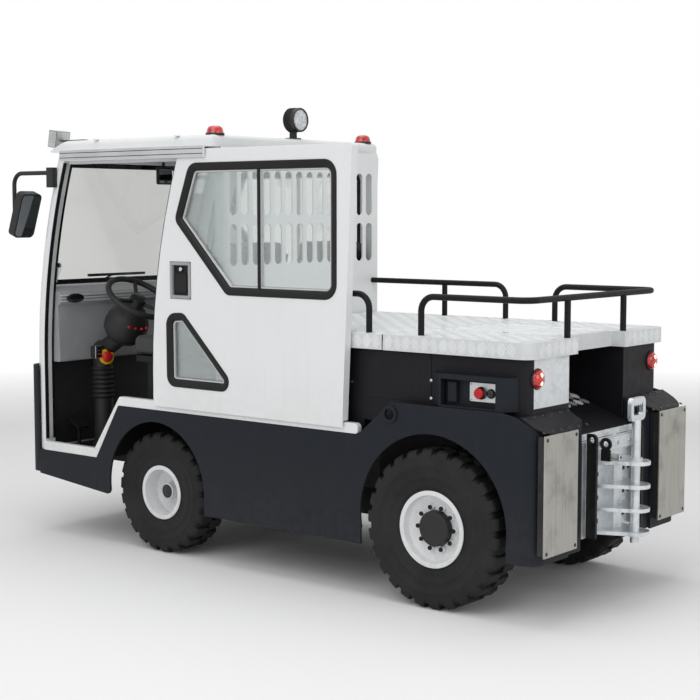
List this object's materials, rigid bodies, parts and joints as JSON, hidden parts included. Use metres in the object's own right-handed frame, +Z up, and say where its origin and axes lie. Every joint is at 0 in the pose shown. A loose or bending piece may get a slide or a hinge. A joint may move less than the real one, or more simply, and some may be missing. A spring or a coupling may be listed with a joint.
{
  "type": "electric baggage tug",
  "caption": "Electric airport tow tractor with a white sliding-door cab, railed checker-plate deck, ballast boxes and a stepped pin coupling at the rear.",
  "frame": {"origin": "on the ground, under the middle of the vehicle's box", "axes": "+X forward along the vehicle, +Y to its left, +Z up"},
  "size_m": [3.349, 1.35, 2.155],
  "materials": {
    "paint_white": "satin white paint",
    "paint_charcoal": "satin blue-grey charcoal paint",
    "frame_black": "satin black paint",
    "cast_grey": "rough casting",
    "battery_case": "matt painted steel case",
    "buffer_rubber": "matt black rubber",
    "push_steel": "vertical brushed finish",
    "checker_plate": "pale checker plate",
    "lamp_red": "clear red lens",
    "lamp_clear": "clear lens over a bright reflector",
    "zinc_plate": "bright zinc plating",
    "clear_glass": "clear safety glass",
    "dash_grey": "fine-grained moulding",
    "black_plastic": "fine-grained moulding",
    "seat_cover": "black grained seat cover",
    "tyre_rubber": "matt tyre rubber",
    "rim_paint": "light grey-white paint"
  },
  "bodies": {
    "chassis": {"cab_front": "paint_white", "roof": "paint_white", "rear_wall": "paint_white", "cab_sills": "paint_white", "side_skirt_left": "paint_charcoal", "side_skirt_right": "paint_charcoal", "front_bumper": "paint_charcoal", "rear_weights": "paint_charcoal", "rear_covers": "paint_charcoal", "hood": "paint_charcoal", "control_box": "paint_charcoal", "lashing_eyes": "paint_charcoal", "chassis_frame": "frame_black", "front_axle": "frame_black", "drive_axle": "frame_black", "deck_rails": "frame_black", "cab_floor": "frame_black", "seat_frames": "frame_black", "pedals": "frame_black", "traction_motor": "cast_grey", "battery": "battery_case", "buffer_pads": "buffer_rubber", "push_plates": "push_steel", "deck_front": "checker_plate", "deck_rear": "checker_plate", "tail_lamps": "lamp_red", "beacons": "lamp_red", "headlamps": "lamp_clear", "tow_coupling": "zinc_plate", "windshield": "clear_glass", "dashboard": "dash_grey", "steering_column": "black_plastic", "mirrors": "black_plastic", "wiper": "black_plastic", "work_lamps": "black_plastic", "seats": "seat_cover"},
    "steer_left": {"knuckle_left": "cast_grey"},
    "steer_right": {"knuckle_right": "cast_grey"},
    "tie_rod": {"tie_rod": "cast_grey"},
    "wheel_rear_left": {"tyre_rear_left": "tyre_rubber", "rim_rear_left": "rim_paint"},
    "wheel_rear_right": {"tyre_rear_right": "tyre_rubber", "rim_rear_right": "rim_paint"},
    "wheel_front_left": {"tyre_front_left": "tyre_rubber", "rim_front_left": "rim_paint"},
    "wheel_front_right": {"tyre_front_right": "tyre_rubber", "rim_front_right": "rim_paint"},
    "steering_wheel": {"steering_wheel": "black_plastic"},
    "door_left": {"door_left": "paint_white", "door_left_glass": "clear_glass", "door_left_trim": "buffer_rubber"},
    "door_right": {"door_right": "paint_white", "door_right_glass": "clear_glass", "door_right_trim": "buffer_rubber"},
    "coupling_pin": {"coupling_pin": "zinc_plate"}
  },
  "joints": [
    {"name": "steer_left", "type": "hinge", "parent": "chassis", "child": "steer_left", "pos_m": [0.6515, 0.366, 0.294], "axis": [0, 0, 1], "range_deg": [-35, 35]},
    {"name": "steer_right", "type": "hinge", "parent": "chassis", "child": "steer_right", "pos_m": [0.6515, -0.366, 0.294], "axis": [0, 0, 1], "range_deg": [-35, 35]},
    {"name": "tie_rod_pivot", "type": "hinge", "parent": "steer_left", "child": "tie_rod", "pos_m": [0.5215, 0.366, 0.256], "axis": [0, 0, 1], "range_deg": [-35, 35]},
    {"name": "steering_wheel_turn", "type": "hinge", "parent": "chassis", "child": "steering_wheel", "pos_m": [1.0715, 0.3, 1.215], "axis": [-0.5592, 0, 0.829], "range_deg": [-420, 420]},
    {"name": "door_left_slide", "type": "slide", "parent": "chassis", "child": "door_left", "axis": [1, 0, 0], "range_m": [0, 0.828]},
    {"name": "door_right_slide", "type": "slide", "parent": "chassis", "child": "door_right", "axis": [-1, 0, 0], "range_m": [0, 0.828]},
    {"name": "coupling_pin_lift", "type": "slide", "parent": "chassis", "child": "coupling_pin", "axis": [0, 0, 1], "range_m": [0, 0.36]},
    {"name": "wheel_rear_left_spin", "type": "hinge", "parent": "chassis", "child": "wheel_rear_left", "pos_m": [-0.9885, 0.512, 0.338], "axis": [0, 1, 0], "continuous": true},
    {"name": "wheel_front_left_spin", "type": "hinge", "parent": "steer_left", "child": "wheel_front_left", "pos_m": [0.6515, 0.485, 0.294], "axis": [0, 1, 0], "continuous": true},
    {"name": "wheel_rear_right_spin", "type": "hinge", "parent": "chassis", "child": "wheel_rear_right", "pos_m": [-0.9885, -0.512, 0.338], "axis": [0, 1, 0], "continuous": true},
    {"name": "wheel_front_right_spin", "type": "hinge", "parent": "steer_right", "child": "wheel_front_right", "pos_m": [0.6515, -0.485, 0.294], "axis": [0, 1, 0], "continuous": true}
  ],
  "couplings": [
    {"joint": "steer_right", "follows": "steer_left", "ratio": 1},
    {"joint": "tie_rod_pivot", "follows": "steer_left", "ratio": -1},
    {"joint": "steering_wheel_turn", "follows": "steer_left", "ratio": 12}
  ]
}
